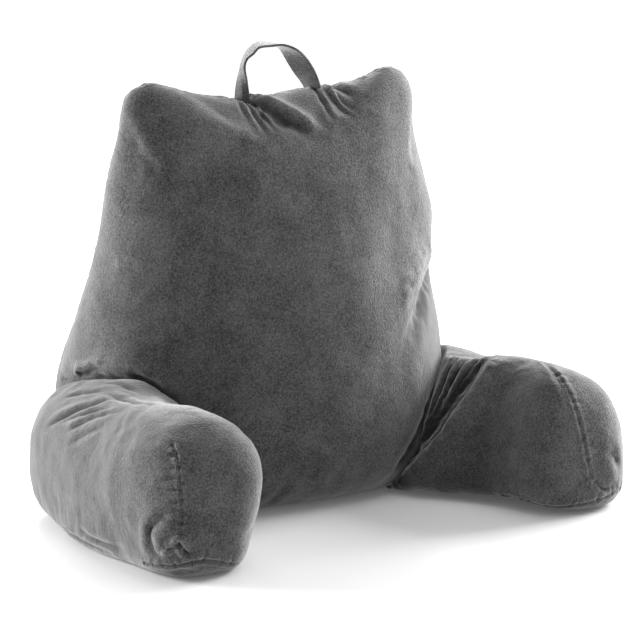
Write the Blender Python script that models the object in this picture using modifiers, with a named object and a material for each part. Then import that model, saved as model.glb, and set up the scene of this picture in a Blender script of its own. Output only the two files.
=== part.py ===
"""Reading pillow with arms: a stuffed backrest, two stuffed arms sewn to its sides, and a strap
handle sewn into its top seam. Metres, +Z up. The pillow faces -Y and stands on z = 0, with the
origin in the middle of the floor that it covers. Left and right are as seen from the front."""

import math

import bmesh
import bpy
from mathutils import Vector

# ---- driving sizes, in metres ------------------------------------------------------------
GAP = 0.0003            # left between neighbouring pieces, where the real ones are sewn together
BLOCK = 1.0             # side of the block that trims the undersides, wider than the pillow
RING_POINTS = 28        # points round each section
MIDDLE = (0.0063, 0.026)    # where the middle of the covered floor lies in the tables below

EAR_X = 0.135           # the top corners stand up this far either side of the middle
EAR_DIP_HALF = 0.065    # the top seam is low and level for this far either side
EAR_DIP = 0.023         # how far the top seam lies below the corners
DIP_FADES = (0.28, 0.46)    # the dip grows between these two heights

# The backrest, from the floor up. left, right: out to the side seams, which aren't quite alike;
# seam_y: where the side seams run; front, back: how far the two faces bulge from there;
# fullness: 2 is an ellipse, more is boxier.
BACKREST_ROWS = (
    # z      left   right  seam_y  front   back    fullness
    (-0.008, 0.165, 0.150, 0.112,  0.092,  0.066,  2.5),
    (0.012,  0.205, 0.192, 0.126,  0.130,  0.086,  2.5),
    (0.045,  0.226, 0.212, 0.137,  0.156,  0.096,  2.4),
    (0.090,  0.236, 0.222, 0.145,  0.166,  0.096,  2.3),
    (0.135,  0.236, 0.224, 0.150,  0.165,  0.090,  2.2),
    (0.180,  0.222, 0.217, 0.150,  0.155,  0.082,  2.2),
    (0.235,  0.204, 0.202, 0.146,  0.140,  0.074,  2.2),
    (0.290,  0.194, 0.199, 0.127,  0.114,  0.068,  2.2),
    (0.345,  0.186, 0.190, 0.119,  0.094,  0.061,  2.2),
    (0.390,  0.180, 0.180, 0.115,  0.076,  0.052,  2.2),
    (0.420,  0.177, 0.177, 0.111,  0.058,  0.044,  2.2),
    (0.443,  0.170, 0.170, 0.108,  0.038,  0.033,  2.2),
    (0.456,  0.148, 0.150, 0.106,  0.017,  0.016,  2.1),
)

# One arm, from its tail beside the back to its nose. inner, outer: its two sides, out from the
# middle of the pillow; low, high: its underside and its top; lean: how much the inner side
# slopes outwards from its foot to its top; fullness: of the rounded upper half.
ARM_ROWS = (
    # y       inner  outer  low     high   lean   fullness
    (0.176,   0.165, 0.224, 0.046,  0.094, 0.000, 2.0),
    (0.166,   0.140, 0.256, 0.022,  0.124, 0.010, 2.1),
    (0.142,   0.115, 0.284, 0.002,  0.148, 0.020, 2.1),
    (0.100,   0.105, 0.293, -0.008, 0.158, 0.040, 2.2),
    (0.050,   0.107, 0.293, -0.008, 0.158, 0.050, 2.2),
    (0.000,   0.116, 0.290, -0.008, 0.158, 0.050, 2.2),
    (-0.050,  0.138, 0.288, -0.008, 0.160, 0.034, 2.2),
    (-0.100,  0.150, 0.284, -0.008, 0.160, 0.016, 2.4),
    (-0.140,  0.153, 0.279, -0.008, 0.151, 0.005, 2.5),
    (-0.166,  0.158, 0.269, -0.004, 0.132, 0.000, 2.5),
    (-0.181,  0.170, 0.256, 0.008,  0.106, 0.000, 2.4),
    (-0.188,  0.190, 0.238, 0.028,  0.076, 0.000, 2.2),
)
UNDER_FULLNESS = 4.0    # the lower half is boxier, as the weight spreads it on the floor
WAIST_SHARE = 0.45      # how far up an arm is widest
CREST_TILT = 0.10       # the top is higher by this share at the inner side, and lower at the outer
TURN_SPAN = (-0.05, 0.15)   # an arm turns outwards between these two distances to the front
# The two arms aren't quite alike: how far each nose is turned outwards, how much longer and how
# much taller it is.
ARMS = {
    "arm_left": {"side": -1, "nose_out": 0.000, "longer": 1.00, "taller": 1.00},
    "arm_right": {"side": 1, "nose_out": 0.026, "longer": 0.88, "taller": 0.90},
}

STRAP_WIDTH = 0.026
STRAP_THICKNESS = 0.003
STRAP_MIDDLE_X = 0.008
STRAP_HALF_SPAN = 0.045     # from the middle of the loop to each foot
STRAP_FOOT_Z = 0.415        # the ends lie inside the backrest, and are trimmed at its cloth
STRAP_TOP_Z = 0.491
STRAP_Y = 0.106
STRAP_TWISTS = (14, -14)    # degrees that the left and the right foot are turned to the front
STRAP_POINTS = 25

CLOTH_GREY = (0.075, 0.075, 0.078, 1.0)
STRAP_GREY = (0.095, 0.095, 0.098, 1.0)


# ---- helpers -------------------------------------------------------------------------------
def clear_scene():
    for obj in list(bpy.data.objects):
        bpy.data.objects.remove(obj, do_unlink=True)


def new_collection(name, hidden=False):
    collection = bpy.data.collections.new(name)
    collection.hide_render = hidden
    bpy.context.scene.collection.children.link(collection)
    return collection


def new_cloth(name, colour, roughness):
    material = bpy.data.materials.new(name)
    material.use_nodes = True
    shader = material.node_tree.nodes["Principled BSDF"]
    shader.inputs["Base Color"].default_value = colour
    shader.inputs["Roughness"].default_value = roughness
    shader.inputs["Metallic"].default_value = 0.0
    return material


def placed(x, y, z):
    """A point of the tables, measured from the middle of the covered floor."""
    return Vector((x - MIDDLE[0], y - MIDDLE[1], z))


def smooth_step(value, low, high):
    share = min(max((value - low) / (high - low), 0.0), 1.0)
    return share * share * (3 - 2 * share)


def rounded_point(angle, fullness):
    """A point of a superellipse one unit across each way."""
    def bent(value):
        return math.copysign(abs(value) ** (2 / fullness), value)
    return bent(math.cos(angle)), bent(math.sin(angle))


def close_end(mesh, points):
    """Closes a ring with strips across it, so that the end follows the ring's own dips."""
    count = len(points)
    for step in range(count // 2):
        strip = [points[step], points[step + 1], points[-step - 1], points[-step]]
        mesh.faces.new(list(dict.fromkeys(strip)))


def loft(name, rings, collection, material):
    """A closed body through rings of points: each ring is bridged to the next, and the ends shut."""
    mesh = bmesh.new()
    circles = [[mesh.verts.new(point) for point in ring] for ring in rings]
    loops = []
    for circle in circles:
        pairs = zip(circle, circle[1:] + circle[:1])
        loops.append([mesh.edges.new(pair) for pair in pairs])
    for first, second in zip(loops, loops[1:]):
        bmesh.ops.bridge_loops(mesh, edges=first + second)
    close_end(mesh, circles[0])
    close_end(mesh, circles[-1])
    bmesh.ops.recalc_face_normals(mesh, faces=mesh.faces)
    data = bpy.data.meshes.new(name)
    mesh.to_mesh(data)
    mesh.free()
    data.shade_smooth()
    data.materials.append(material)
    obj = bpy.data.objects.new(name, data)
    collection.objects.link(obj)
    return obj


def round_off(obj):
    """Rounds a coarse cage into a soft, stuffed form."""
    subdivide = obj.modifiers.new("stuffed", "SUBSURF")
    subdivide.levels = 1
    subdivide.render_levels = 1
    obj.modifiers.new("triangles", "TRIANGULATE")


def cut(obj, cutter, name):
    boolean = obj.modifiers.new(name, "BOOLEAN")
    boolean.operation = "DIFFERENCE"
    boolean.solver = "EXACT"
    boolean.object = cutter


def mesh_as_shown(obj):
    bpy.context.view_layer.update()
    graph = bpy.context.evaluated_depsgraph_get()
    return bpy.data.meshes.new_from_object(obj.evaluated_get(graph))


def as_cutter(obj):
    obj.hide_render = True
    obj.display_type = "WIRE"
    return obj


# ---- cutters ---------------------------------------------------------------------------------
def floor_cutter(collection):
    """A block under z = 0. It presses the undersides flat where the pillow rests."""
    bpy.ops.mesh.primitive_cube_add(size=BLOCK, location=(0, 0, -BLOCK / 2))
    block = bpy.context.active_object
    block.name = "floor_cutter"
    for owner in list(block.users_collection):
        owner.objects.unlink(block)
    collection.objects.link(block)
    return as_cutter(block)


def swollen_copy(obj, collection):
    """The backrest's outside, a seam's gap further out, to trim what is sewn to it."""
    copy = bpy.data.objects.new(obj.name + "_cutter", mesh_as_shown(obj))
    collection.objects.link(copy)
    swell = copy.modifiers.new("gap", "DISPLACE")
    swell.mid_level = 0
    swell.strength = GAP
    return as_cutter(copy)


# ---- pieces ----------------------------------------------------------------------------------
def dipped(x, z):
    """The height of a backrest point, once the top seam is lowered between the two corners."""
    low_here = 1 - smooth_step(abs(x), EAR_DIP_HALF, EAR_X)
    near_top = smooth_step(z, *DIP_FADES)
    return z - EAR_DIP * low_here * near_top


def make_backrest(collection, cloth):
    rings = []
    for z, left, right, seam_y, front, back, fullness in BACKREST_ROWS:
        ring = []
        for step in range(RING_POINTS):
            across, through = rounded_point(math.tau * step / RING_POINTS, fullness)
            bulge = back if through > 0 else front
            x = across * (right if across > 0 else left)
            ring.append(placed(x, seam_y + bulge * through, dipped(x, z)))
        rings.append(ring)
    backrest = loft("backrest", rings, collection, cloth)
    round_off(backrest)
    return backrest


def arm_section(side, inner, outer, low, high, lean, fullness):
    """Points round one upright section of an arm, as (x, z)."""
    middle, half = (inner + outer) / 2, (outer - inner) / 2
    waist = low + WAIST_SHARE * (high - low)
    points = []
    for step in range(RING_POINTS):
        angle = math.tau * step / RING_POINTS
        above = math.sin(angle) >= 0
        across, up = rounded_point(angle, fullness if above else UNDER_FULLNESS)
        slope = lean * up * max(0.0, -across)
        tilted = 1 - CREST_TILT * across if above else 1
        z = waist + up * tilted * ((high - waist) if above else (waist - low))
        points.append((side * (middle + half * across + slope), z))
    return points


def make_arm(name, side, nose_out, longer, taller, collection, cloth):
    rings = []
    for y, inner, outer, low, high, lean, fullness in ARM_ROWS:
        reach = y * longer if y < 0 else y
        turned = side * nose_out * smooth_step(-y, *TURN_SPAN)
        section = arm_section(side, inner, outer, low, high * taller, lean, fullness)
        rings.append([placed(x + turned, reach, z) for x, z in section])
    arm = loft(name, rings, collection, cloth)
    round_off(arm)
    return arm


def strap_curve(collection):
    """The loop's middle line, a round arch, with the strap's breadth lying front to back."""
    data = bpy.data.curves.new("handle_line", "CURVE")
    data.dimensions = "3D"
    data.twist_mode = "Z_UP"
    data.extrude = STRAP_WIDTH / 2 - STRAP_THICKNESS / 2
    data.bevel_depth = STRAP_THICKNESS / 2
    data.bevel_resolution = 1
    data.use_fill_caps = True
    spline = data.splines.new("POLY")
    spline.points.add(STRAP_POINTS - 1)
    for index, point in enumerate(spline.points):
        share = index / (STRAP_POINTS - 1)
        across, up = rounded_point(math.pi * (1 - share), 2.3)
        z = STRAP_FOOT_Z + (STRAP_TOP_Z - STRAP_FOOT_Z) * up
        place = placed(STRAP_MIDDLE_X + STRAP_HALF_SPAN * across, STRAP_Y, z)
        point.co = (*place, 1)
        left = STRAP_TWISTS[0] * (1 - smooth_step(share, 0.05, 0.45))
        right = STRAP_TWISTS[1] * smooth_step(share, 0.55, 0.95)
        point.tilt = math.radians(90 + left + right)
    line = bpy.data.objects.new("handle_line", data)
    collection.objects.link(line)
    return line


def make_handle(collection, cloth):
    line = strap_curve(collection)
    mesh = mesh_as_shown(line)
    bpy.data.objects.remove(line)
    welded = bmesh.new()
    welded.from_mesh(mesh)
    bmesh.ops.remove_doubles(welded, verts=welded.verts, dist=1e-5)
    welded.to_mesh(mesh)
    welded.free()
    mesh.materials.clear()
    mesh.materials.append(cloth)
    handle = bpy.data.objects.new("handle", mesh)
    collection.objects.link(handle)
    return handle


def main():
    clear_scene()
    pillow = new_collection("reading_pillow")
    cutters = new_collection("cutters", hidden=True)
    plush = new_cloth("plush", CLOTH_GREY, 0.9)
    strap_cloth = new_cloth("strap_cloth", STRAP_GREY, 0.9)

    backrest = make_backrest(pillow, plush)
    floor = floor_cutter(cutters)
    against_back = swollen_copy(backrest, cutters)
    cut(backrest, floor, "pressed flat")
    for name, facts in ARMS.items():
        arm = make_arm(name, collection=pillow, cloth=plush, **facts)
        cut(arm, against_back, "sewn to the backrest")
        cut(arm, floor, "pressed flat")
    handle = make_handle(pillow, strap_cloth)
    cut(handle, against_back, "sewn into the top seam")


main()
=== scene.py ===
# %% [markdown]
# # A reading pillow with arms
#
# The pillow is a stuffed backrest with a stuffed arm sewn to each side, and a strap loop in its top
# seam. Its cover is a short brushed plush. This lesson starts from the plain solids of the pillow,
# turns each of them into stuffed cloth, and then lights it in a small studio.

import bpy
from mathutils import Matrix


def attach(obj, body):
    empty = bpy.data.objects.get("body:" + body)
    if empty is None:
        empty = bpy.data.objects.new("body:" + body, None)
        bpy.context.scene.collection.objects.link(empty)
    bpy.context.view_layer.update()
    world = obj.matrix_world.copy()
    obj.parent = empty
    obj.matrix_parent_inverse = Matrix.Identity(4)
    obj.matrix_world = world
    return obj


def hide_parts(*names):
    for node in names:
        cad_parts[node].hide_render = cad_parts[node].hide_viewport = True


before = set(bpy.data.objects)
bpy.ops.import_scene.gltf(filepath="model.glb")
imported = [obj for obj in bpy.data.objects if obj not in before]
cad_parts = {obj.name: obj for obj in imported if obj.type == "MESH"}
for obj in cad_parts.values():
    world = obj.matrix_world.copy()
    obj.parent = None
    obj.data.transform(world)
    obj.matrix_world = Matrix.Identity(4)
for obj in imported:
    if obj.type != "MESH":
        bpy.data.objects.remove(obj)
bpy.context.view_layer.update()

import math
import random

import bpy
import numpy as np
from mathutils import Vector, noise
from mathutils.bvhtree import BVHTree

# %% [markdown]
# ## The camera
#
# A stuffed thing looks softest through a long lens from a few metres away, because near and far
# sides then keep their true sizes. The camera stands a little above the pillow and to its left, and
# it is made first, so that every later choice can be judged through it.

# %% Place the camera
TURN, RAISE = math.radians(-29.3), math.radians(12.0)
DISTANCE = 3.2
SENSOR_WIDTH, LENS = 36, 169.4  # both in millimetres
AIM = Vector((-0.0068, -0.0313, 0.2071))
backwards = Vector((
    math.sin(TURN) * math.cos(RAISE),
    -math.cos(TURN) * math.cos(RAISE),
    math.sin(RAISE),
))
camera_data = bpy.data.cameras.new("camera")
camera_data.sensor_width = SENSOR_WIDTH
camera_data.lens = LENS
camera = bpy.data.objects.new("camera", camera_data)
bpy.context.scene.collection.objects.link(camera)
camera.location = AIM + backwards * DISTANCE
camera.rotation_euler = backwards.to_track_quat("Z", "Y").to_euler()
bpy.context.scene.camera = camera
print("camera at", [round(c, 2) for c in camera.location])

# %% [markdown]
# ## Small helpers
#
# Blender's operators act on whatever is selected, so each step first makes one piece the only
# selected one. Points are moved in bulk as arrays, which is fast enough for cloth.


# %% Select, read and move
def only(piece):
    bpy.ops.object.select_all(action="DESELECT")
    piece.select_set(True)
    bpy.context.view_layer.objects.active = piece


def apply_modifier(piece, kind, name, **settings):
    only(piece)
    modifier = piece.modifiers.new(name, kind)
    for key, value in settings.items():
        setattr(modifier, key, value)
    bpy.ops.object.modifier_apply(modifier=modifier.name)


def points_of(piece):
    flat = np.empty(len(piece.data.vertices) * 3)
    piece.data.vertices.foreach_get("co", flat)
    return flat.reshape(-1, 3)


def normals_of(piece):
    flat = np.empty(len(piece.data.vertices) * 3)
    piece.data.vertices.foreach_get("normal", flat)
    return flat.reshape(-1, 3)


def move_points(piece, points):
    piece.data.vertices.foreach_set("co", points.ravel())
    piece.data.update()


def painted_shade_of(piece):
    """How much painted light (above 0) or painted shade (below 0) the pile's colour gets at each point.
    """
    layer = piece.data.attributes.get("shade")
    if layer is None:
        layer = piece.data.attributes.new("shade", "FLOAT", "POINT")
    values = np.empty(len(piece.data.vertices))
    layer.data.foreach_get("value", values)
    return values


# paints light or shade into the pile's colour at the picked points
def add_painted_shade(piece, amounts, picked=slice(None)):
    values = painted_shade_of(piece)
    values[picked] += amounts
    piece.data.attributes["shade"].data.foreach_set("value", values)


def skin_of(piece):
    """A search tree of the piece's surface."""
    faces = [tuple(face.vertices) for face in piece.data.polygons]
    return BVHTree.FromPolygons([v.co for v in piece.data.vertices], faces)


def ease(values, low, high):
    share = np.clip((values - low) / (high - low), 0, 1)
    return share * share * (3 - 2 * share)


# %% [markdown]
# ## From a plain solid to a cloth bag
#
# A sewn cover has an even mesh of threads, so the cloth starts from an even mesh of small squares.
# The plain solid is copied, its loose triangles are merged, and a voxel remesh covers it with
# squares of one size. A few rounds of smoothing take the facets away.


# %% Copy and remesh
def cloth_bag(node, name, square, smoothing):
    piece = bpy.data.objects.new(name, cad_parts[node].data.copy())
    bpy.context.scene.collection.objects.link(piece)
    only(piece)
    bpy.ops.object.mode_set(mode="EDIT")
    bpy.ops.mesh.select_all(action="SELECT")
    bpy.ops.mesh.remove_doubles(threshold=1e-5)
    bpy.ops.object.mode_set(mode="OBJECT")
    apply_modifier(piece, "REMESH", "even squares", mode="VOXEL", voxel_size=square)
    apply_modifier(piece, "SMOOTH", "no facets", factor=0.5, iterations=smoothing)
    bpy.ops.object.shade_smooth()
    print(name, "starts with", len(piece.data.polygons), "squares")
    return piece


backrest = cloth_bag("backrest", "backrest_cover", square=0.0063, smoothing=10)
arm_left = cloth_bag("arm_left", "arm_left_cover", square=0.0041, smoothing=7)
arm_right = cloth_bag("arm_right", "arm_right_cover", square=0.0041, smoothing=7)

# %% [markdown]
# ## Sagging
#
# The plain solids are more regular than a pillow that has been sat against. Each row below is one
# soft push: a place on the cloth, how far the push reaches, and how far the cloth goes. The corners
# stand out, the cloth swells between the strap's feet, and the arms sag towards the floor.


# %% Push the cloth about
def pushes(piece, rows):
    """rows: (place, reach, shift), all in metres."""
    points = points_of(piece)
    moves = np.zeros_like(points)
    for place, reach, shift in rows:
        gap = ((points - np.array(place)) ** 2).sum(axis=1)
        moves += np.exp(-gap / reach ** 2)[:, None] * np.array(shift)
    points += moves
    points[:, 2] = np.maximum(points[:, 2], 0)
    move_points(piece, points)
    print(piece.name, "pushed by up to", round(float(np.abs(moves).max()) * 1000, 1), "mm")


pushes(backrest, (
    ((0.045, 0.080, 0.432), 0.042, (0, 0, 0.0085)),
    ((-0.092, 0.080, 0.437), 0.045, (0, 0, 0.0045)),
    ((-0.166, 0.082, 0.443), 0.035, (-0.008, 0, 0.004)),
    ((0.160, 0.078, 0.435), 0.035, (0.004, 0, 0.003)),
    ((0.172, 0.050, 0.300), 0.050, (0.006, -0.005, 0)),
    ((-0.190, 0.109, 0.310), 0.080, (-0.003, 0, 0)),
    ((-0.205, 0.030, 0.178), 0.030, (-0.003, -0.006, 0)),
    ((-0.165, 0.000, 0.155), 0.030, (-0.001, -0.006, 0)),
))
pushes(arm_left, (
    ((-0.203, -0.080, 0.158), 0.045, (-0.001, 0, -0.007)),
    ((-0.200, -0.030, 0.157), 0.040, (-0.002, 0, -0.008)),
    ((-0.177, -0.190, 0.112), 0.045, (0.010, 0, 0.004)),
    ((-0.172, -0.198, 0.020), 0.045, (-0.012, 0, 0.001)),
    ((-0.290, 0.100, 0.070), 0.060, (0.005, 0, 0)),
    ((-0.285, -0.020, 0.010), 0.045, (-0.009, -0.002, -0.002)),
    ((-0.283, -0.080, 0.008), 0.040, (-0.006, 0, -0.001)),
))
pushes(arm_right, (
    ((0.205, -0.002, 0.141), 0.026, (0, 0, -0.006)),
    ((0.212, -0.062, 0.143), 0.045, (0, 0, 0.0055)),
    ((0.236, -0.118, 0.141), 0.045, (0, 0, 0.0055)),
    ((0.264, -0.152, 0.127), 0.040, (0.003, 0, 0.006)),
    ((0.284, -0.165, 0.085), 0.035, (0.000, 0, 0.002)),
    ((0.285, -0.175, 0.045), 0.045, (0.003, 0, 0)),
    ((0.112, -0.045, 0.000), 0.028, (0, 0, 0.006)),
    ((0.150, -0.095, 0.000), 0.040, (0, 0, 0.007)),
    ((0.184, -0.150, 0.000), 0.040, (0, 0, 0.008)),
    ((0.238, -0.180, 0.000), 0.030, (0, -0.008, 0)),
))

# %% [markdown]
# ## Stuffing
#
# Shredded foam presses outwards evenly, like air in a balloon, and the cloth wrinkles where a seam
# holds it back. A cloth simulation does both: pressure fills the bag, its base is held flat by the
# weight, and the seams where pieces meet are pinned. The cloth is a little too long, and no point
# may move further than a centimetre. The solids already have the pillow's size, so only the
# wrinkles are kept: the broad part of the movement is taken out again.


# %% Simulate the stuffing
RESTING = 0.003     # cloth below this height lies on the floor
BROAD_ROUNDS = 60   # rounds of averaging that leave only the broad part of a movement
FURTHEST = 0.010


def smoothed(piece, values, rounds):
    """Each point's value, averaged again and again with its neighbours' values."""
    edges = np.empty(len(piece.data.edges) * 2, int)
    piece.data.edges.foreach_get("vertices", edges)
    a, b = edges.reshape(-1, 2).T
    count = np.bincount(edges, minlength=len(values))[:, None]
    for _ in range(rounds):
        total = np.zeros_like(values)
        for axis in range(3):
            total[:, axis] = (np.bincount(a, values[b, axis], len(values))
                              + np.bincount(b, values[a, axis], len(values)))
        values = (values + total / count) / 2
    return values


def stuff(piece, held, spare, keep, pressure=4, frames=20):
    """held: how firmly each point is held, from 0 to 1. spare: the cloth's extra length.
    keep: the share of the wrinkles that is kept."""
    before = points_of(piece)
    group = piece.vertex_groups.new(name="held")
    for level in (0.5, 1.0):
        picked = np.nonzero((held > level - 0.5) & (held <= level))[0]
        group.add([int(i) for i in picked], level, "REPLACE")
    cloth = piece.modifiers.new("stuffing", "CLOTH")
    settings = cloth.settings
    settings.quality = 5
    settings.mass = 0.2
    settings.tension_stiffness = settings.compression_stiffness = 12
    settings.shear_stiffness = 4
    settings.bending_stiffness = 0.4
    settings.air_damping = 3
    settings.use_pressure = True
    settings.uniform_pressure_force = pressure
    settings.shrink_min = -spare
    settings.vertex_group_mass = "held"
    settings.effector_weights.gravity = 0
    cloth.collision_settings.use_collision = False
    scene = bpy.context.scene
    for number in range(1, frames + 1):
        scene.frame_set(number)
    graph = bpy.context.evaluated_depsgraph_get()
    after = points_of(piece.evaluated_get(graph))
    piece.modifiers.remove(cloth)
    scene.frame_set(1)
    shift = after - before
    length = np.linalg.norm(shift, axis=1, keepdims=True)
    shift *= np.minimum(1, FURTHEST / np.maximum(length, 1e-9))
    shift -= smoothed(piece, shift, BROAD_ROUNDS)
    points = before + shift * keep
    points[:, 2] = np.maximum(points[:, 2], 0)
    move_points(piece, points)
    print(piece.name, "moved", round(float(length.mean()) * 1000, 1), "mm on average")


def near_surface(piece, other, reach):
    """1 where the piece's points are within reach of the other piece, and 0 elsewhere."""
    skin = skin_of(other)
    return np.array([1.0 if skin.find_nearest(v.co, reach)[0] else 0.0
                     for v in piece.data.vertices])


for arm in (arm_left, arm_right):
    sewn = near_surface(arm, backrest, reach=0.006)
    flat = (points_of(arm)[:, 2] < RESTING) * 1.0
    stuff(arm, np.maximum(sewn, flat), spare=0.025, keep=0.55)
flat = (points_of(backrest)[:, 2] < RESTING) * 1.0
stuff(backrest, flat, spare=0.012, keep=0.85)

# %% [markdown]
# ## Lumps
#
# Stuffing is never even. Three sizes of smooth noise, from a hand's width down to a fingertip's,
# push the cloth in and out, the broadest by a few millimetres. They fade at the floor, where the
# weight flattens the cloth.


# %% Add lumps
def lumps(piece, sizes, seed):
    """sizes: rows of (width, height) in metres."""
    points, normals = points_of(piece), normals_of(piece)
    push = np.zeros(len(points))
    for width, height in sizes:
        spots = [Vector(p) / width + Vector((seed, 0, 0)) for p in points]
        push += height * np.array([noise.noise(spot) for spot in spots])
    push *= ease(points[:, 2], 0.002, 0.02)
    points += normals * push[:, None]
    points[:, 2] = np.maximum(points[:, 2], 0)
    move_points(piece, points)


ARM_LUMPS = ((0.07, 0.003), (0.024, 0.0012), (0.011, 0.0004))
lumps(backrest, sizes=((0.11, 0.004), (0.040, 0.0014), (0.016, 0.0005)), seed=3)
lumps(arm_left, ARM_LUMPS, seed=11)
lumps(arm_right, ARM_LUMPS, seed=19)


# %% [markdown]
# A sewn edge is drawn in: the last centimetre of an arm's cloth curves down into the crease with
# the backrest instead of meeting it squarely. The arms near the backrest, and both pieces in the
# crease, also get painted shade: their colour is darkened where the other piece keeps light off them.


# %% Draw the arms' roots in
# how far painted shade darkens the pile's colour at the deepest point of a crease
PAINTED_CREASE_SHADE = -1.6


def darken_near(piece, other, reach, amount):
    """Painted shade: the pile's colour is darkened near the other piece, the more the nearer, as in a
    corner that no light reaches.
    """
    skin = skin_of(other)
    gaps = [skin.find_nearest(v.co, reach)[3] for v in piece.data.vertices]
    near = np.array([0 if gap is None else 1 - gap / reach for gap in gaps])
    add_painted_shade(piece, -amount * near)


def draw_in(piece, other, reach, depth):
    skin = skin_of(other)
    points, normals = points_of(piece), normals_of(piece)
    painted_crease_shade = np.zeros(len(points))
    for index, point in enumerate(points):
        place, _, _, distance = skin.find_nearest(Vector(point), reach)
        if place is not None:
            near = (1 - distance / reach) ** 2
            points[index] -= normals[index] * depth * near
            # painted shade: the crease's colour is darkened, the more the nearer the other piece
            painted_crease_shade[index] = PAINTED_CREASE_SHADE * near
    points[:, 2] = np.maximum(points[:, 2], 0)
    move_points(piece, points)
    add_painted_shade(piece, painted_crease_shade)


# painted shade on the arms near the backrest, where it keeps light off them
darken_near(arm_right, backrest, reach=0.150, amount=1.0)
darken_near(arm_left, backrest, reach=0.100, amount=0.8)
draw_in(arm_left, backrest, reach=0.018, depth=0.006)
draw_in(arm_right, backrest, reach=0.014, depth=0.004)
draw_in(backrest, arm_left, reach=0.012, depth=0.0015)
draw_in(backrest, arm_right, reach=0.012, depth=0.0010)

for piece in (backrest, arm_left, arm_right):
    apply_modifier(piece, "SUBSURF", "finer cloth", levels=1, render_levels=1)
    print(piece.name, "now has", len(piece.data.polygons), "squares")

# %% [markdown]
# ## Folds and seams
#
# A fold is drawn as a line of a few points near the cloth. The line is smoothed, laid onto the
# surface, and the cloth is pushed in along it, with a raised lip on each side where the spare cloth
# goes. Where a fold runs, the squares are first cut into smaller ones, so that its edge stays
# crisp.


# %% Draw a fold
def smooth_line(points, gap=0.002):
    """Points every gap metres along a curve through the given ones (a Catmull-Rom curve)."""
    pts = np.array(points, float)
    padded = np.vstack([2 * pts[0] - pts[1], pts, 2 * pts[-1] - pts[-2]])
    line = []
    for a, b, c, d in zip(padded, padded[1:], padded[2:], padded[3:]):
        count = max(2, int(np.linalg.norm(c - b) / gap))
        for t in np.arange(count) / count:
            line.append(0.5 * (2 * b + (c - a) * t + (2 * a - 5 * b + 4 * c - d) * t ** 2
                               + (3 * b - a - 3 * c + d) * t ** 3))
    line.append(pts[-1])
    return np.array(line)


def laid_line(skin, points):
    return np.array([skin.find_nearest(Vector(p))[0] for p in smooth_line(points)])


def refine(piece, lines, reach):
    """Cuts the squares within reach of any of the lines into four."""
    places = np.vstack(lines)
    centres = np.empty(len(piece.data.polygons) * 3)
    piece.data.polygons.foreach_get("center", centres)
    centres = centres.reshape(-1, 3)
    near = np.zeros(len(centres), bool)
    for place in places:
        near |= ((centres - place) ** 2).sum(axis=1) < reach * reach
    only(piece)
    bpy.ops.object.mode_set(mode="EDIT")
    bpy.ops.mesh.select_mode(type="FACE")
    bpy.ops.mesh.select_all(action="DESELECT")
    bpy.ops.object.mode_set(mode="OBJECT")
    piece.data.polygons.foreach_set("select", near)
    bpy.ops.object.mode_set(mode="EDIT")
    bpy.ops.mesh.subdivide(number_cuts=1, smoothness=0)
    bpy.ops.object.mode_set(mode="OBJECT")
    print(piece.name, "refined", int(near.sum()), "squares near its folds")


FOLD_REACH, STEP_REACH = 4.5, 3.2   # how many widths away a fold and a step still move the cloth
GROOVE_POWER = 1.4                  # a fold's section: 1 is a sharp V, 2 is a round valley
LIP_PLACE, LIP_WIDTH = 2.1, 1.4     # where a fold's lips are and how wide, in groove widths
WAVER_SCALE = 90                    # how fine the waver is, per metre
WAVER_DEPTH = 0.5                   # how much the depth wavers
FOLD_WAVER, STEP_WAVER = 0.0004, 0.0012  # how far a fold and a step wander, in metres
# painted shade and highlight: each fold's push is painted into the pile's colour, darker in grooves and
# lighter on lips and ridges
PAINTED_SHADE_PUSH = 0.005                  # a push this deep changes the shade by 1


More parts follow.
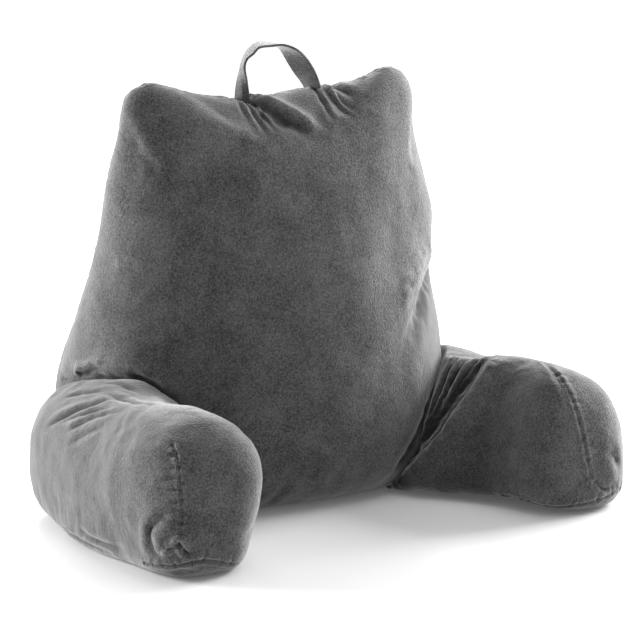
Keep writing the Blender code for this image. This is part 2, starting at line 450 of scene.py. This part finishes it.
def press_fold(piece, line, width=0.0, depth=0.0, lip=0.35, lean=0.0, rise=0.12, fall=0.5,
               high=None, low=None, side=1, even=False):
    """Pushes the cloth in along a laid line, or out for a depth below 0.
    lip: the height of the lips, as a share of the depth.
    lean: from -1 to 1, which side's lip is higher.
    rise, fall: the shares of the line where the fold is first and last at its full depth.
    high, low: for a step, with one high and one low side, each side's (height, width).
    side: -1 puts a step's high side on the other side of the line.
    even: a straight sewn line, without the waver of a fold."""
    points, normals = points_of(piece), normals_of(piece)
    reach = FOLD_REACH * width if high is None else STEP_REACH * max(high[1], low[1])
    inside = ((points > line.min(0) - reach) & (points < line.max(0) + reach)).all(axis=1)
    picked = np.nonzero(inside)[0]
    gaps = points[picked][:, None, :] - line[None, :, :]
    distances = np.sqrt((gaps ** 2).sum(axis=2))
    nearest = distances.argmin(axis=1)
    along = np.gradient(line, axis=0)
    along /= np.maximum(np.linalg.norm(along, axis=1, keepdims=True), 1e-9)
    normal = normals[picked]
    sideways = np.cross(normal, along[nearest])
    rows = np.arange(len(picked))
    gap = gaps[rows, nearest]
    across = side * np.sign((gap * sideways).sum(axis=1)) * distances[rows, nearest]
    waver = np.array([0 if even else noise.noise(Vector(p) * WAVER_SCALE)
                      for p in points[picked]])
    share = nearest / (len(line) - 1)
    strength = (ease(share, 0, rise) if rise > 0 else 1) * (1 - ease(share, fall, 1))
    strength = strength * (1 + WAVER_DEPTH * waver)
    if high is None:
        across = across + min(0.5 * width, FOLD_WAVER) * waver
        groove = np.exp(-(np.abs(across) / width) ** GROOVE_POWER)
        lips = 0
        for sign in (-1, 1):
            beside = (across - sign * LIP_PLACE * width) / (LIP_WIDTH * width)
            lips = lips + (1 + sign * lean) * np.exp(-beside ** 2)
        push = depth * strength * (lip * lips - groove)
    else:
        across = across + STEP_WAVER * waver
        up = np.clip(across / high[1], 0, None)
        down = np.clip(-across / low[1], 0, None)
        push = strength * (high[0] * up * np.exp(0.5 - up * up / 2)
                           - low[0] * down * np.exp(0.5 - down * down / 2))
    points[picked] += normal * push[:, None]
    points[:, 2] = np.maximum(points[:, 2], 0)
    move_points(piece, points)
    # painted shade in the groove and painted highlight on the lips
    add_painted_shade(piece, np.clip(push / PAINTED_SHADE_PUSH, -0.9, 0.5), picked)


def press_folds(piece, folds):
    """folds: rows of (points, settings of press_fold)."""
    skin = skin_of(piece)
    lines = [laid_line(skin, points) for points, settings in folds]
    refine(piece, lines, reach=0.008)
    for line, (points, settings) in zip(lines, folds):
        press_fold(piece, line, **settings)
    print(piece.name, "has", len(lines), "folds")


def puckers(seam, towards, count, length, depth, seed, first=0.05, last=0.95):
    """Short folds that leave a seam on one side, as rows for press_folds."""
    line = smooth_line(seam)
    dice = random.Random(seed)
    rows = []
    for index in range(count):
        share = first + (last - first) * (index + dice.uniform(0.2, 0.8)) / count
        start = line[int(share * (len(line) - 1))]
        drift = np.array([dice.uniform(-0.3, 0.3) for _ in range(3)])
        end = start + (np.array(towards) + drift) * length * dice.uniform(0.6, 1.2)
        rows.append(((tuple(start), tuple((start + end) / 2), tuple(end)),
                     dict(width=dice.uniform(0.0014, 0.0024), depth=depth * dice.uniform(0.5, 1.1),
                          rise=0, fall=0.25)))
    return tuple(rows)


# %% [markdown]
# ## The backrest's folds
#
# The strap's feet pull the top seam into fine folds that fan down the front: a broad trough runs
# from the left foot towards the right, and a pair of sharp folds leaves the right foot. Over the
# right arm the front panel bulges past the side and leaves a soft ridge. Each row is one fold:
# its points start at the seam or foot that makes it.

# %% Fold the backrest
STRAP_FOLDS = (
    # fine folds below the left foot
    (((-0.042, 0.084, 0.434), (-0.043, 0.048, 0.421), (-0.038, 0.035, 0.408), (-0.036, 0.024, 0.394)),
     dict(width=0.0024, depth=0.0030, lean=-0.4, rise=0)),
    (((-0.046, 0.086, 0.434), (-0.053, 0.056, 0.427), (-0.052, 0.038, 0.414)),
     dict(width=0.0026, depth=0.0026, rise=0)),
    (((-0.032, 0.082, 0.433), (-0.035, 0.053, 0.426), (-0.028, 0.036, 0.410), (-0.022, 0.026, 0.396)),
     dict(width=0.0022, depth=0.0028, rise=0)),
    # the broad fold from the left foot to the right, with its bright edge above
    (((-0.030, 0.086, 0.434), (-0.014, 0.056, 0.428), (0.000, 0.042, 0.418), (0.014, 0.033, 0.407),
      (0.036, 0.025, 0.389)),
     dict(high=(0.0040, 0.0060), low=(0.0060, 0.0100), rise=0, fall=0.5)),
    # the sharp folds below the right foot
    (((0.064, 0.086, 0.441), (0.061, 0.062, 0.434), (0.066, 0.046, 0.423), (0.080, 0.034, 0.407)),
     dict(width=0.0022, depth=-0.0030, lip=0.7, lean=-0.3, rise=0, fall=0.4)),
    (((0.050, 0.084, 0.440), (0.044, 0.062, 0.432), (0.045, 0.042, 0.416), (0.050, 0.032, 0.402)),
     dict(width=0.0026, depth=0.0034, lean=0.5, rise=0)),
    (((0.056, 0.084, 0.440), (0.052, 0.060, 0.432), (0.056, 0.044, 0.420)),
     dict(width=0.0020, depth=0.0020, rise=0)),
    (((0.070, 0.088, 0.441), (0.076, 0.066, 0.437), (0.090, 0.050, 0.428)),
     dict(width=0.0050, depth=0.0045, lip=0.5, rise=0)),
    (((-0.046, 0.088, 0.434), (-0.060, 0.080, 0.434), (-0.082, 0.078, 0.436)),
     dict(width=0.0030, depth=0.0028, rise=0)),
)
SIDE_FOLDS = (
    # the front panel swells over the right side
    (((0.184, 0.062, 0.246), (0.166, 0.036, 0.234), (0.150, 0.020, 0.223), (0.136, 0.008, 0.209),
      (0.122, -0.003, 0.192), (0.104, -0.013, 0.176), (0.088, -0.020, 0.166)),
     dict(high=(0.0040, 0.0180), low=(0.0085, 0.0120), side=-1, rise=0.15, fall=0.35)),
    # a dart above the left arm, and the folds that follow its crease
    (((-0.188, 0.018, 0.147), (-0.174, 0.005, 0.133), (-0.157, -0.009, 0.122)),
     dict(width=0.0026, depth=0.0024, rise=0.3, fall=0.7)),
    (((-0.234, 0.090, 0.150), (-0.222, 0.066, 0.160), (-0.214, 0.052, 0.163)),
     dict(width=0.0026, depth=0.0045, lean=0.6, rise=0)),
    (((-0.237, 0.130, 0.135), (-0.231, 0.087, 0.148), (-0.224, 0.069, 0.153), (-0.214, 0.049, 0.152),
      (-0.199, 0.030, 0.151), (-0.185, 0.016, 0.148), (-0.174, 0.004, 0.139), (-0.162, -0.006, 0.125),
      (-0.148, -0.015, 0.117)),
     dict(width=0.0050, depth=0.0030, lip=0.35, lean=0.5, rise=0.05, fall=0.8)),
    (((0.194, 0.046, 0.135), (0.173, 0.016, 0.115), (0.155, -0.001, 0.103), (0.140, -0.012, 0.091),
      (0.131, -0.017, 0.075), (0.116, -0.024, 0.058), (0.099, -0.025, 0.038), (0.084, -0.025, 0.026)),
     dict(width=0.0040, depth=0.0022, lip=0.3, rise=0.05, fall=0.9)),
    (((-0.205, 0.030, 0.160), (-0.190, 0.014, 0.153), (-0.172, 0.000, 0.143)),
     dict(width=0.0050, depth=0.0022, rise=0.2, fall=0.6)),
)
BACKREST_SEAM = (
    (-0.236, 0.130, 0.020), (-0.236, 0.142, 0.090), (-0.226, 0.146, 0.150), (-0.206, 0.142, 0.235),
    (-0.194, 0.122, 0.300), (-0.190, 0.112, 0.345), (-0.186, 0.106, 0.390), (-0.180, 0.096, 0.425),
    (-0.160, 0.080, 0.452), (-0.120, 0.080, 0.447), (-0.070, 0.084, 0.436), (0.000, 0.084, 0.434),
    (0.060, 0.084, 0.440), (0.110, 0.080, 0.450), (0.145, 0.080, 0.452), (0.168, 0.084, 0.425),
    (0.178, 0.089, 0.390), (0.182, 0.093, 0.345), (0.186, 0.101, 0.300), (0.195, 0.120, 0.235),
    (0.206, 0.124, 0.150), (0.212, 0.119, 0.090), (0.210, 0.105, 0.020),
)
SEAM_FOLDS = (
    (BACKREST_SEAM, dict(width=0.0013, depth=0.0013, lip=0.4, rise=0.02, fall=0.98, even=True)),
    *puckers(BACKREST_SEAM, (0, -1, 0), 40, 0.013, 0.0010, seed=1),
    *puckers(BACKREST_SEAM, (0, 1, 0), 40, 0.013, 0.0010, seed=2),
)
press_folds(backrest, SEAM_FOLDS + STRAP_FOLDS + SIDE_FOLDS)

# %% [markdown]
# ## The arms' folds
#
# Each arm ends in a seam that runs over its nose and closes in a pinched point near the floor. The
# cloth puckers along it. At the root, the cloth fans out from the crease with the backrest.

# %% Fold the left arm
LEFT_NOSE_SEAM = (
    (-0.252, -0.166, 0.137), (-0.254, -0.186, 0.120), (-0.259, -0.203, 0.084),
    (-0.260, -0.206, 0.062), (-0.262, -0.206, 0.040),
)
LEFT_UNDER_SEAM = (
    (-0.288, -0.150, 0.008), (-0.276, -0.186, 0.014), (-0.249, -0.210, 0.022),
    (-0.227, -0.211, 0.019), (-0.192, -0.204, 0.006),
)
LEFT_ARM_FOLDS = (
    (LEFT_NOSE_SEAM, dict(width=0.0013, depth=0.0011, lip=0.5, rise=0.1, fall=0.95, even=True)),
    (LEFT_UNDER_SEAM, dict(width=0.0017, depth=0.0017, lip=0.4, rise=0.1, fall=0.9, even=True)),
    # the pinch that closes the nose
    (((-0.263, -0.205, 0.042), (-0.258, -0.208, 0.033), (-0.250, -0.210, 0.029)),
     dict(width=0.0022, depth=0.0050, rise=0, fall=0.5)),
    (((-0.263, -0.204, 0.040), (-0.270, -0.197, 0.035), (-0.276, -0.189, 0.036)),
     dict(width=0.0022, depth=0.0032, rise=0, fall=0.4)),
    (((-0.275, -0.188, 0.026), (-0.264, -0.203, 0.042)),
     dict(width=0.0030, depth=-0.0026, rise=0.3, fall=0.7)),
    (((-0.266, -0.200, 0.071), (-0.277, -0.186, 0.062), (-0.282, -0.174, 0.047), (-0.280, -0.180, 0.031),
      (-0.272, -0.190, 0.020)),
     dict(width=0.0050, depth=0.0034, lip=0.5, lean=0.3, rise=0.3, fall=0.6)),
    # long folds below the crease with the backrest
    (((-0.244, 0.012, 0.149), (-0.240, -0.031, 0.152), (-0.236, -0.073, 0.155), (-0.232, -0.105, 0.157)),
     dict(width=0.0036, depth=0.0024, lean=0.4, rise=0.2, fall=0.35)),
    (((-0.292, 0.060, 0.103), (-0.280, 0.030, 0.122), (-0.265, 0.008, 0.134), (-0.250, -0.012, 0.146),
      (-0.238, -0.028, 0.152)),
     dict(width=0.0040, depth=0.0036, lean=0.5, rise=0.3, fall=0.55)),
    (((-0.288, 0.036, 0.112), (-0.276, 0.006, 0.126), (-0.264, -0.021, 0.136), (-0.252, -0.044, 0.145)),
     dict(width=0.0030, depth=0.0026, rise=0.3, fall=0.6)),
    (((-0.288, 0.012, 0.108), (-0.279, -0.010, 0.120), (-0.266, -0.036, 0.135), (-0.256, -0.062, 0.144)),
     dict(width=0.0030, depth=0.0022, lean=0.4, rise=0.3, fall=0.6)),
    (((-0.291, -0.006, 0.100), (-0.281, -0.034, 0.117), (-0.270, -0.060, 0.132)),
     dict(width=0.0034, depth=0.0016, rise=0.3, fall=0.6)),
    (((-0.262, 0.062, 0.132), (-0.250, 0.030, 0.144), (-0.240, 0.006, 0.151)),
     dict(width=0.0034, depth=0.0020, rise=0.2, fall=0.5)),
    (((-0.230, 0.030, 0.153), (-0.222, -0.002, 0.157), (-0.212, -0.036, 0.158)),
     dict(width=0.0032, depth=0.0016, rise=0.1, fall=0.4)),
    # creases along the floor
    (((-0.296, 0.010, 0.016), (-0.291, -0.044, 0.011), (-0.285, -0.110, 0.010)),
     dict(width=0.0026, depth=0.0020, rise=0.3, fall=0.6)),
    (((-0.296, -0.040, 0.024), (-0.290, -0.085, 0.019), (-0.286, -0.125, 0.018)),
     dict(width=0.0026, depth=0.0016, rise=0.3, fall=0.6)),
    *puckers(LEFT_NOSE_SEAM, (-0.7, 0.7, 0.05), 4, 0.018, 0.0018, seed=5, first=0.06, last=0.26),
    *puckers(LEFT_NOSE_SEAM, (-0.7, 0.7, -0.15), 7, 0.026, 0.0015, seed=6, first=0.25),
    *puckers(LEFT_NOSE_SEAM, (0.8, 0.5, 0.1), 7, 0.016, 0.0009, seed=7),
    *puckers(LEFT_UNDER_SEAM, (0, -0.3, 1), 8, 0.012, 0.0012, seed=8),
)
press_folds(arm_left, LEFT_ARM_FOLDS)

# %% Fold the right arm
RIGHT_NOSE_SEAM = (
    (0.236, -0.066, 0.146), (0.230, -0.095, 0.148), (0.226, -0.120, 0.147), (0.225, -0.146, 0.140),
    (0.224, -0.171, 0.120), (0.227, -0.188, 0.081), (0.231, -0.191, 0.055), (0.240, -0.190, 0.022),
)
RIGHT_UNDER_SEAM = (
    (0.160, -0.108, 0.012), (0.190, -0.160, 0.014), (0.215, -0.184, 0.012), (0.240, -0.190, 0.014),
    (0.268, -0.182, 0.020), (0.290, -0.165, 0.024),
)
RIGHT_ROOT_LINE = (
    (0.204, -0.046, 0.141), (0.176, -0.052, 0.124), (0.151, -0.048, 0.097),
    (0.133, -0.045, 0.070), (0.106, -0.031, 0.036), (0.093, -0.024, 0.014),
)
RIGHT_ARM_FOLDS = (
    # the arm swells over the deep fold round its root
    (RIGHT_ROOT_LINE, dict(high=(0.0050, 0.0160), low=(0.0055, 0.0080), rise=0.1, fall=0.75)),
    (RIGHT_ROOT_LINE, dict(width=0.0030, depth=0.0034, lip=0.0, rise=0.1, fall=0.8)),
    # the fan of folds behind it
    (((0.196, 0.006, 0.140), (0.172, -0.009, 0.130), (0.155, -0.020, 0.113), (0.139, -0.026, 0.094),
      (0.124, -0.026, 0.068)),
     dict(width=0.0026, depth=0.0034, lip=0.5, rise=0.1, fall=0.5)),
    (((0.199, -0.012, 0.141), (0.175, -0.022, 0.131), (0.158, -0.028, 0.115), (0.139, -0.033, 0.090),
      (0.120, -0.030, 0.058)),
     dict(width=0.0030, depth=0.0040, lip=0.5, lean=0.3, rise=0.1, fall=0.5)),
    (((0.203, -0.028, 0.141), (0.178, -0.036, 0.130), (0.160, -0.038, 0.113), (0.142, -0.039, 0.088)),
     dict(width=0.0024, depth=0.0030, lip=0.5, rise=0.1, fall=0.5)),
    (((0.214, -0.036, 0.143), (0.196, -0.044, 0.139), (0.180, -0.046, 0.129)),
     dict(width=0.0024, depth=0.0022, lip=0.5, rise=0.2, fall=0.5)),
    (RIGHT_NOSE_SEAM, dict(width=0.0018, depth=0.0008, lip=0.5, rise=0.15, fall=0.95, even=True)),
    (RIGHT_UNDER_SEAM, dict(width=0.0016, depth=0.0010, lip=0.4, rise=0.2, fall=0.9, even=True)),
    # the fold beside the seam on top, and the dents of the nose
    (((0.236, -0.090, 0.146), (0.224, -0.132, 0.143), (0.219, -0.161, 0.130), (0.219, -0.177, 0.110)),
     dict(width=0.0030, depth=0.0016, lip=0.5, rise=0.2, fall=0.6)),
    (((0.240, -0.190, 0.034), (0.250, -0.190, 0.026), (0.262, -0.187, 0.024)),
     dict(width=0.0022, depth=0.0026, rise=0)),
    (((0.258, -0.189, 0.068), (0.268, -0.187, 0.056), (0.280, -0.182, 0.044)),
     dict(width=0.0060, depth=0.0024, lip=0.4, rise=0.3, fall=0.6)),
    *puckers(RIGHT_NOSE_SEAM, (-0.8, -0.4, 0), 9, 0.014, 0.0008, seed=9, first=0.3),
    *puckers(RIGHT_NOSE_SEAM, (0.9, -0.1, 0.1), 8, 0.014, 0.0011, seed=10, first=0.3),
    *puckers(RIGHT_UNDER_SEAM, (0, -0.2, 1), 9, 0.014, 0.0013, seed=12),
)
press_folds(arm_right, RIGHT_ARM_FOLDS)


# %% [markdown]
# ## Where the arms meet the backrest
#
# The arms are sewn on, so their cloth touches the backrest along a tight crease and never passes
# through it. Each arm point that ended up inside the backrest, or closer than a thread to it, is
# moved out to its surface.


# %% Keep the arms out of the backrest
def keep_out(piece, skin, clearance=0.0005, reach=0.02):
    points = points_of(piece)
    moved = 0
    for index, point in enumerate(points):
        place, normal, _, distance = skin.find_nearest(Vector(point), reach)
        if place is None:
            continue
        outside = (Vector(point) - place).dot(normal)
        if outside < clearance:
            points[index] = place + normal * clearance
            moved += 1
    points[:, 2] = np.maximum(points[:, 2], 0)
    move_points(piece, points)
    print(piece.name, "has", moved, "points against the backrest")


backrest_skin = skin_of(backrest)
for arm in (arm_left, arm_right):
    keep_out(arm, backrest_skin)
    near = near_surface(arm, backrest, reach=0.004)
    group = arm.vertex_groups.new(name="crease")
    group.add([int(i) for i in np.nonzero(near)[0]], 1.0, "REPLACE")
    apply_modifier(arm, "SMOOTH", "even crease", factor=0.5, iterations=12, vertex_group="crease")
    keep_out(arm, backrest_skin)

# %% [markdown]
# ## The strap
#
# The handle is a strip of the same cloth, folded and pressed flat. It leaves the left foot in a
# shallow V, twists edge-on on its way up, lies flat on top, and turns its inner face to the front
# on the way down. The table has a row for each place along it: its back edge, its middle and its
# front edge.

# %% Make the strap
STRAP_ROWS = (
    # back edge, middle, front edge
    ((-0.044, 0.089, 0.427), (-0.041, 0.077, 0.428), (-0.033, 0.076, 0.427)),  # left foot
    ((-0.044, 0.089, 0.433), (-0.041, 0.077, 0.434), (-0.033, 0.076, 0.433)),
    ((-0.042, 0.089, 0.448), (-0.041, 0.078, 0.449), (-0.036, 0.074, 0.449)),
    ((-0.036, 0.093, 0.461), (-0.040, 0.081, 0.463), (-0.042, 0.070, 0.466)),
    ((-0.033, 0.093, 0.471), (-0.037, 0.081, 0.473), (-0.040, 0.069, 0.476)),
    ((-0.026, 0.093, 0.483), (-0.030, 0.080, 0.483), (-0.033, 0.067, 0.482)),
    ((-0.015, 0.092, 0.490), (-0.020, 0.080, 0.489), (-0.025, 0.068, 0.488)),  # top
    ((0.001, 0.092, 0.489), (-0.005, 0.080, 0.490), (-0.010, 0.068, 0.489)),
    ((0.012, 0.092, 0.483), (0.009, 0.080, 0.487), (0.005, 0.068, 0.489)),
    ((0.018, 0.092, 0.474), (0.020, 0.080, 0.479), (0.021, 0.068, 0.483)),
    ((0.023, 0.091, 0.465), (0.028, 0.080, 0.469), (0.034, 0.069, 0.472)),
    ((0.030, 0.091, 0.455), (0.036, 0.080, 0.457), (0.043, 0.069, 0.459)),
    ((0.038, 0.092, 0.446), (0.042, 0.080, 0.448), (0.048, 0.070, 0.449)),
    ((0.044, 0.093, 0.437), (0.046, 0.081, 0.438), (0.051, 0.070, 0.440)),
    ((0.044, 0.093, 0.430), (0.046, 0.081, 0.431), (0.051, 0.070, 0.432)),  # right foot
)
STRAP_THICKNESS = 0.0026
STRAP_EDGE = 0.0009             # how far its pressed edges are rounded
STRAP_LENGTHS, STRAP_BREADTHS = 150, 14  # squares along it and across it
STRAIGHTENED, STRAIGHT_REACH = 0.15, 0.3  # how much of the bend across it is taken out, and where


def on_curve(stops, shares):
    """Points at the given shares (0 to 1) of a curve through evenly counted stops."""
    stops = np.array(stops, float)
    padded = np.vstack([2 * stops[0] - stops[1], stops, 2 * stops[-1] - stops[-2]])
    place = np.clip(shares, 0, 0.99999) * (len(stops) - 1)
    index = place.astype(int)
    t = (place - index)[:, None]
    a, b, c, d = (padded[index + step] for step in range(4))
    return 0.5 * (2 * b + (c - a) * t + (2 * a - 5 * b + 4 * c - d) * t ** 2
                  + (3 * b - a - 3 * c + d) * t ** 3)


bpy.ops.object.select_all(action="DESELECT")
bpy.ops.mesh.primitive_grid_add(
    x_subdivisions=STRAP_LENGTHS, y_subdivisions=STRAP_BREADTHS, size=1)
strap = bpy.context.active_object
strap.name = "strap_handle"
grid = points_of(strap)
along, breadth = grid[:, 0] + 0.5, grid[:, 1] * 2
back_edge, middle, front_edge = (on_curve([row[i] for row in STRAP_ROWS], along) for i in range(3))
backward = (-np.clip(breadth, -1, 0))[:, None]
forward = np.clip(breadth, 0, 1)[:, None]
bent = middle + (back_edge - middle) * backward + (front_edge - middle) * forward
blend = np.exp(-(breadth / STRAIGHT_REACH) ** 2)[:, None]
straight = (back_edge + front_edge) / 2
bent += (straight - middle) * STRAIGHTENED * blend
move_points(strap, bent)
apply_modifier(strap, "SOLIDIFY", "folded cloth", thickness=STRAP_THICKNESS, offset=0)
apply_modifier(strap, "BEVEL", "pressed edges", width=STRAP_EDGE, segments=3,
               limit_method="ANGLE")
bpy.ops.object.shade_smooth()
# painted shade: the half that turns its inner face to the front is darkened, as it stays out of the
# light
add_painted_shade(strap, -0.7 * ease(points_of(strap)[:, 0], 0.004, 0.016))
print("strap has", len(strap.data.polygons), "faces")

# %% [markdown]
# ## Shader maths
#
# Materials are graphs of nodes. This small class lets a graph be written as sums, so that a recipe
# for colour or bump reads like a formula.


# %% A socket that does sums
class Flow:
    def __init__(self, tree, socket):
        self.tree, self.socket = tree, socket

    def node(self, kind, inputs=(), output=0, **settings):
        made = self.tree.nodes.new(kind)
        for key, value in settings.items():
            setattr(made, key, value)
        for name, value in dict(inputs).items():
            if isinstance(value, Flow):
                self.tree.links.new(value.socket, made.inputs[name])
            else:
                made.inputs[name].default_value = value
        return Flow(self.tree, made.outputs[output])

    def math(self, operation, other):
        return self.node("ShaderNodeMath", {0: self, 1: other}, operation=operation)

    def __add__(self, other):
        return self.math("ADD", other)

    def __mul__(self, other):
        return self.math("MULTIPLY", other)

    def __sub__(self, other):
        return self.math("SUBTRACT", other)


def new_material(name):
    material = bpy.data.materials.new(name)
    material.use_nodes = True
    tree = material.node_tree
    shader = tree.nodes["Principled BSDF"]
    start = Flow(tree, None)
    return material, shader, start


# %% [markdown]
# ## Brushed plush
#
# The cover is a velvety cloth with a very short pile. Where a hand has brushed it the pile leans
# another way and looks lighter or darker, so the colour wanders in soft patches, with a fine
# speckle of single tufts on top. Sheen gives the pale edge that pile shows at a grazing angle.


# %% Make the plush
SHEEN_TINT = (0.96, 0.96, 0.96, 1.0)


def plush(name, grey):
    material, shader, start = new_material(name)
    place = start.node("ShaderNodeTexCoord", output="Object")
    patches = start.node("ShaderNodeTexNoise", {"Vector": place, "Scale": 22.0, "Detail": 6.0,
                                                "Roughness": 0.62, "Distortion": 0.4})
    spots = start.node("ShaderNodeTexNoise", {"Vector": place, "Scale": 95.0, "Detail": 4.0,
                                              "Roughness": 0.65, "Distortion": 0.6})
    strokes = start.node("ShaderNodeMapping", {"Vector": place, "Rotation": (0.3, 0.5, 0.7),
                                               "Scale": (110.0, 150.0, 125.0)})
    brushed = start.node("ShaderNodeTexNoise", {"Vector": strokes, "Scale": 1.0, "Detail": 4.0,
                                                "Roughness": 0.65, "Distortion": 1.2})
    tufts = start.node("ShaderNodeTexNoise", {"Vector": place, "Scale": 480.0, "Detail": 3.0,
                                              "Roughness": 0.75})
    light = ((patches - 0.5) * 1.5 + (spots - 0.5) * 0.8 + (brushed - 0.5) * 0.6
             + (tufts - 0.5) * 4.0 + 1.0)
    cloth = start.node("ShaderNodeClamp", {"Value": light, "Min": 0.3, "Max": 2.2})
    # painted shade and light: the shade attribute darkens the colour in creases, corners and folds and
    # lightens it on ridges
    shade = start.node("ShaderNodeAttribute", output=2, attribute_name="shade")
    depth = start.node("ShaderNodeClamp", {"Value": shade * 0.7 + 1.0, "Min": 0.2, "Max": 1.5})
    kept = cloth * depth
    colour = start.node("ShaderNodeVectorMath", {0: (grey, grey, grey), "Scale": kept},
                        operation="SCALE")
    start.tree.links.new(colour.socket, shader.inputs["Base Color"])
    rough = (brushed - 0.5) * 0.2 + 0.85
    start.tree.links.new(rough.socket, shader.inputs["Roughness"])
    pile = tufts * 1.6 + brushed * 0.3 + spots * 0.9 + patches * 0.8
    bump = start.node("ShaderNodeBump", {"Strength": 0.5, "Distance": 0.0016, "Height": pile})
    start.tree.links.new(bump.socket, shader.inputs["Normal"])
    shader.inputs["Metallic"].default_value = 0.0
    shader.inputs["Specular IOR Level"].default_value = 0.12
    shader.inputs["Sheen Weight"].default_value = 0.95
    shader.inputs["Sheen Roughness"].default_value = 0.42
    shader.inputs["Sheen Tint"].default_value = SHEEN_TINT
    return material


cover_cloth = plush("cover_cloth", grey=0.083)
strap_cloth = plush("strap_cloth", grey=0.090)
for piece in (backrest, arm_left, arm_right):
    piece.data.materials.clear()
    piece.data.materials.append(cover_cloth)
strap.data.materials.clear()
strap.data.materials.append(strap_cloth)
print("materials:", cover_cloth.name, strap_cloth.name)

# %% [markdown]
# ## The studio
#
# The pillow stands on a pale floor in front of white. Big soft lights behind it and beside it make
# the pile's edges glow, a large one overhead shapes the top, and the front is left to the weak
# light that the white room returns. Away from the pillow the floor glows, so it fades into white.


# %% Make the floor
FLOOR_DROP = 0.0004  # the floor lies this far below the pillow
bpy.ops.mesh.primitive_plane_add(size=14, location=(0, 0, -FLOOR_DROP))
floor = bpy.context.active_object
floor.name = "studio_floor"
floor_paint_and_glow, floor_shader, floor_start = new_material("floor_paint_and_glow")
floor_place = floor_start.node("ShaderNodeTexCoord", output="Object")
distance = floor_start.node("ShaderNodeVectorMath", {0: floor_place}, output=1, operation="LENGTH")
glow = floor_start.node("ShaderNodeMapRange", {"Value": distance, "From Min": 0.35, "From Max": 1.3,
                                               "To Min": 0.09, "To Max": 1.0})
glow_colour = floor_start.node("ShaderNodeMix", {0: glow, 6: (0, 0, 0, 1), 7: (1, 1, 1, 1)},
                               output=2, data_type="RGBA")
# painted light: the floor glows, dim near the pillow and white further out, so it fades into white
floor_start.tree.links.new(glow_colour.socket, floor_shader.inputs["Emission Color"])
floor_shader.inputs["Emission Strength"].default_value = 0.7
floor_shader.inputs["Base Color"].default_value = (0.90, 0.90, 0.90, 1.0)
floor_shader.inputs["Roughness"].default_value = 0.30
floor_shader.inputs["Specular IOR Level"].default_value = 0.35
floor.data.materials.append(floor_paint_and_glow)


# %% Make the lights
MIDDLE = Vector((0, 0.05, 0.2))
LIGHTS = (
    # name, place, size in metres, watts
    ("overhead", (0.4, 0.1, 2.2), (1.8, 1.4), 17),
    ("behind_high", (0.4, 2.1, 1.25), (2.0, 0.9), 44),
    ("behind_left", (-1.75, 1.4, 0.75), (0.9, 1.2), 80),
    ("beside_right", (2.1, 0.25, 0.9), (1.0, 1.4), 112),
)


def soft_light(name, place, size, watts):
    data = bpy.data.lights.new(name, "AREA")
    data.shape = "RECTANGLE"
    data.size, data.size_y = size
    data.energy = watts
    light = bpy.data.objects.new(name, data)
    bpy.context.scene.collection.objects.link(light)
    light.location = place
    light.rotation_euler = (Vector(place) - MIDDLE).to_track_quat("Z", "Y").to_euler()


for row in LIGHTS:
    soft_light(*row)
print("lights:", [row[0] for row in LIGHTS])

# %% Make the white room
WHITE = (1, 1, 1, 1)
ROOM_GLOW, BACKDROP_GLOW = 0.34, 1.1

world = bpy.data.worlds.new("white_room")
bpy.context.scene.world = world
world.use_nodes = True
tree = world.node_tree
room = tree.nodes["Background"]
room.inputs["Color"].default_value = WHITE
room.inputs["Strength"].default_value = ROOM_GLOW
seen = tree.nodes.new("ShaderNodeBackground")
seen.inputs["Color"].default_value = WHITE
seen.inputs["Strength"].default_value = BACKDROP_GLOW
ray = tree.nodes.new("ShaderNodeLightPath")
choice = tree.nodes.new("ShaderNodeMixShader")
tree.links.new(ray.outputs["Is Camera Ray"], choice.inputs[0])
tree.links.new(room.outputs[0], choice.inputs[1])
tree.links.new(seen.outputs[0], choice.inputs[2])
tree.links.new(choice.outputs[0], tree.nodes["World Output"].inputs["Surface"])
bpy.context.scene.view_settings.view_transform = "Standard"

# %% [markdown]
# ## Attaching the pieces
#
# Each piece rides on the one body of the pillow and stands for its plain solid, which is hidden.

for piece, node in ((backrest, "backrest"), (arm_left, "arm_left"), (arm_right, "arm_right")):
    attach(piece, "root")
    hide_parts(node)
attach(strap, "root")
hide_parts("handle")

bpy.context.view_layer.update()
for piece in (backrest, arm_left, arm_right, strap):
    print(piece.name, sum(len(p.vertices) - 2 for p in piece.data.polygons), "triangles")
